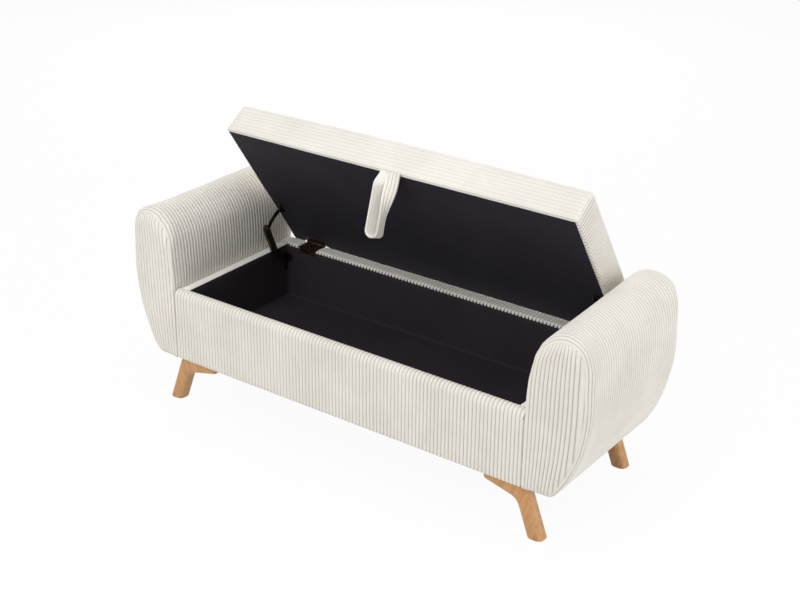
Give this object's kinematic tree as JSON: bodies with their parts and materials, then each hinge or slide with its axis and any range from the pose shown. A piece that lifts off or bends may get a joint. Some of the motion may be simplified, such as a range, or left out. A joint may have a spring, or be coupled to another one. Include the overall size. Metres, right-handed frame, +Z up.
{
  "type": "storage banquette",
  "caption": "Upholstered corduroy bench with padded arms on splayed wooden legs and a hinged seat lid that opens over a black-lined storage well.",
  "frame": {"origin": "on the floor, midway across the width and midway between the front of the box and the back of the open lid", "axes": "+X to the sitter's left along the bench, as seen on the right of a viewer facing it; +Y from the front to the back; +Z up. Rest pose is the lid open as in the picture"},
  "size_m": [1.2762, 0.5071, 0.7201],
  "materials": {
    "corduroy": "cream wide-wale corduroy",
    "black_lining": "black lining cloth",
    "dust_cloth": "black non-woven cloth",
    "foam": "open foam",
    "board": "raw board",
    "leg_wood": "natural satin",
    "bronze_steel": "dark bronze",
    "zinc_steel": "zinc plated",
    "glide_plastic": "matt"
  },
  "bodies": {
    "bench": {"arm_bolts": "zinc_steel", "arm_tee_nuts": "zinc_steel", "back_base_rail": "board", "back_board": "board", "back_cover": "corduroy", "back_pad": "foam", "dust_cover": "dust_cloth", "end_base_rails": "board", "floor_board": "board", "front_base_rail": "board", "front_board": "board", "front_cover": "corduroy", "front_pad": "foam", "hinge_board": "board", "hinge_box_screws": "bronze_steel", "hinge_pins": "bronze_steel", "left_arm_cover": "corduroy", "left_arm_foam": "foam", "left_arm_formers": "board", "left_arm_inner_panel": "board", "left_arm_top_rail": "board", "left_back_leg": "leg_wood", "left_front_leg": "leg_wood", "left_hinge_box_leaf": "bronze_steel", "left_side_board": "board", "left_side_cover": "corduroy", "left_stay_box_bracket": "bronze_steel", "leg_glides": "glide_plastic", "leg_screws": "zinc_steel", "right_arm_cover": "corduroy", "right_arm_foam": "foam", "right_arm_formers": "board", "right_arm_inner_panel": "board", "right_arm_top_rail": "board", "right_back_leg": "leg_wood", "right_front_leg": "leg_wood", "right_hinge_box_leaf": "bronze_steel", "right_side_board": "board", "right_side_cover": "corduroy", "right_stay_box_bracket": "bronze_steel", "stay_box_screws": "bronze_steel", "well_lining": "black_lining"},
    "lid": {"lid_board": "board", "lid_foam": "foam", "lid_cover": "corduroy", "lid_lining": "black_lining", "left_hinge_lid_leaf": "bronze_steel", "right_hinge_lid_leaf": "bronze_steel", "hinge_lid_screws": "bronze_steel", "left_stay_lid_bracket": "bronze_steel", "right_stay_lid_bracket": "bronze_steel", "stay_lid_screws": "bronze_steel"},
    "left_stay_lower": {"left_stay_lower_arm": "bronze_steel", "left_stay_elbow_rivet": "bronze_steel"},
    "right_stay_lower": {"right_stay_lower_arm": "bronze_steel", "right_stay_elbow_rivet": "bronze_steel"},
    "left_stay_upper": {"left_stay_upper_arm": "bronze_steel"},
    "right_stay_upper": {"right_stay_upper_arm": "bronze_steel"},
    "pull_strap": {"pull_strap": "corduroy"}
  },
  "joints": [
    {"name": "lid_hinge", "type": "hinge", "parent": "bench", "child": "lid", "pos_m": [0, 0.18213, 0.3142], "axis": [-1, 0, 0], "range_deg": [-56, 0]},
    {"name": "left_stay_base", "type": "hinge", "parent": "bench", "child": "left_stay_lower", "pos_m": [-0.465, 0.13613, 0.2782], "axis": [-1, 0, 0], "range_deg": [-56, 0]},
    {"name": "left_stay_elbow", "type": "hinge", "parent": "left_stay_lower", "child": "left_stay_upper", "pos_m": [-0.4595, 0.05206, 0.38675], "axis": [-1, 0, 0], "range_deg": [0, 56]},
    {"name": "right_stay_base", "type": "hinge", "parent": "bench", "child": "right_stay_lower", "pos_m": [0.465, 0.13613, 0.2782], "axis": [-1, 0, 0], "range_deg": [-56, 0]},
    {"name": "right_stay_elbow", "type": "hinge", "parent": "right_stay_lower", "child": "right_stay_upper", "pos_m": [0.4595, 0.05206, 0.38675], "axis": [-1, 0, 0], "range_deg": [0, 56]},
    {"name": "strap_swing", "type": "hinge", "parent": "lid", "child": "pull_strap", "pos_m": [0.005, -0.05912, 0.67617], "axis": [-1, 0, 0], "range_deg": [0, 56]}
  ],
  "couplings": [
    {"joint": "left_stay_base", "follows": "lid_hinge", "ratio": 1},
    {"joint": "left_stay_elbow", "follows": "lid_hinge", "ratio": -1},
    {"joint": "right_stay_base", "follows": "lid_hinge", "ratio": 1},
    {"joint": "right_stay_elbow", "follows": "lid_hinge", "ratio": -1},
    {"joint": "strap_swing", "follows": "lid_hinge", "ratio": -1}
  ]
}
